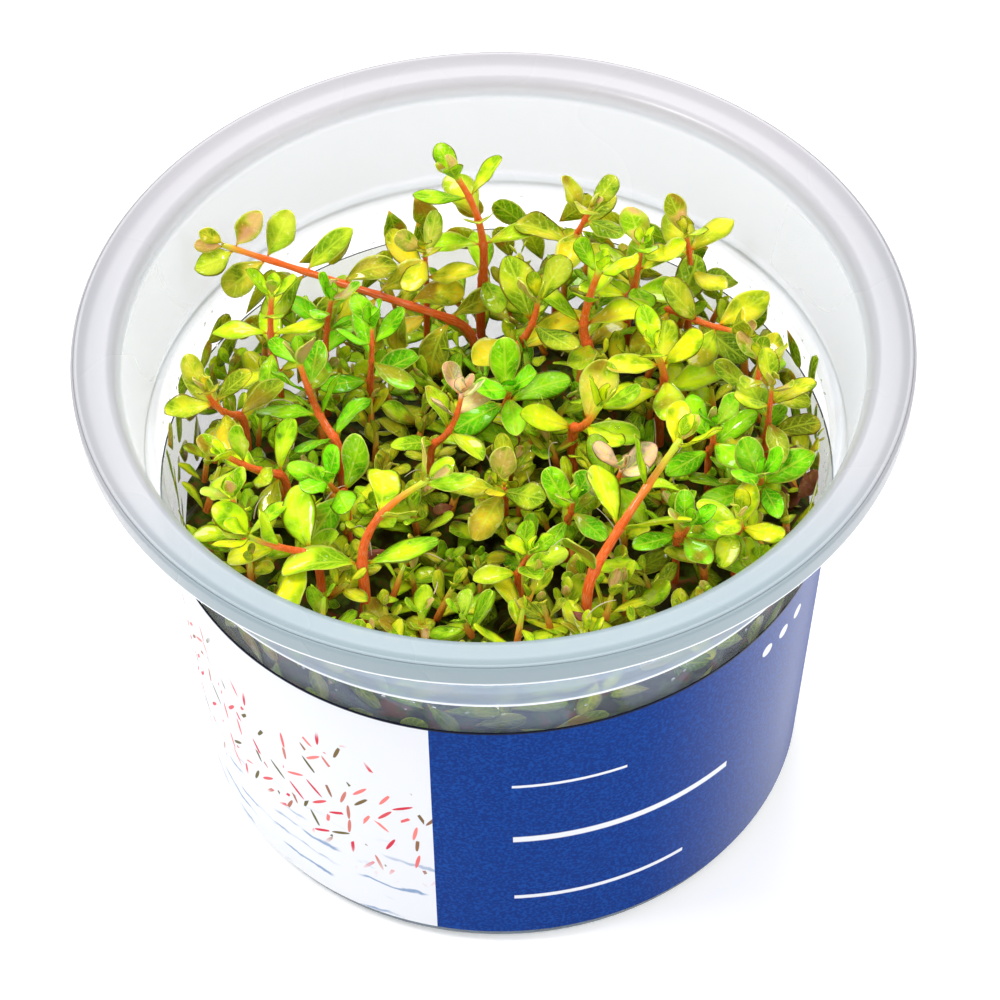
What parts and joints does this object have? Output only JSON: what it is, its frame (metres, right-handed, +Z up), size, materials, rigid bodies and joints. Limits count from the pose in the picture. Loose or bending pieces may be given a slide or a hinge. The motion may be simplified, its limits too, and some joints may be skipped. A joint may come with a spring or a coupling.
{
  "type": "potted aquarium plant",
  "caption": "Red-stemmed rotala shoots with small opposite leaves, growing densely out of an open round tissue-culture cup with a wide flange and a wrap-round label.",
  "frame": {"origin": "centre of the cup's flat underside, on the surface it stands on", "axes": "+Z up along the cup's axis; -Y is the side that the picture looks at, with the seam between the label's white and blue panels; +X is to the right there"},
  "size_m": [0.1, 0.1, 0.0721],
  "materials": {
    "milky_plastic": "translucent polypropylene, satin",
    "printed_film": "printed label film, semi-gloss, white and dark blue panels",
    "nutrient_gel": "clear wet jelly",
    "undergrowth": "dense wet foliage, green to olive with dark gaps",
    "shoots": "waxy leaves from bright green to olive and salmon, orange-red stems"
  },
  "bodies": {
    "root": {"cup": "milky_plastic", "label": "printed_film", "gel": "nutrient_gel", "undergrowth": "undergrowth", "arching_shoot": "shoots", "tall_back_shoot": "shoots", "back_shoot": "shoots", "red_post_shoot": "shoots", "broad_leaf_shoot": "shoots", "right_back_shoot": "shoots", "centre_right_shoot": "shoots", "bright_rosette": "shoots", "yellow_pair_shoot": "shoots", "pink_tip_shoot": "shoots", "star_rosette": "shoots", "right_wall_shoot": "shoots", "front_right_shoot": "shoots", "front_left_shoot": "shoots", "left_top_shoot": "shoots", "left_post_shoot": "shoots", "left_stem_shoot": "shoots", "left_low_shoot": "shoots", "left_foot_shoot": "shoots", "left_red_shoot": "shoots", "mid_left_shoot": "shoots", "pink_mid_shoot": "shoots", "olive_rosette": "shoots", "front_shoot": "shoots", "green_mid_shoot": "shoots", "right_low_shoot": "shoots", "right_front_shoot": "shoots", "left_round_shoot": "shoots", "left_bright_shoot": "shoots", "right_green_shoot": "shoots", "right_grey_shoot": "shoots", "arching_side_shoot": "shoots", "right_top_shoot": "shoots", "back_right_shoot": "shoots"}
  },
  "joints": []
}
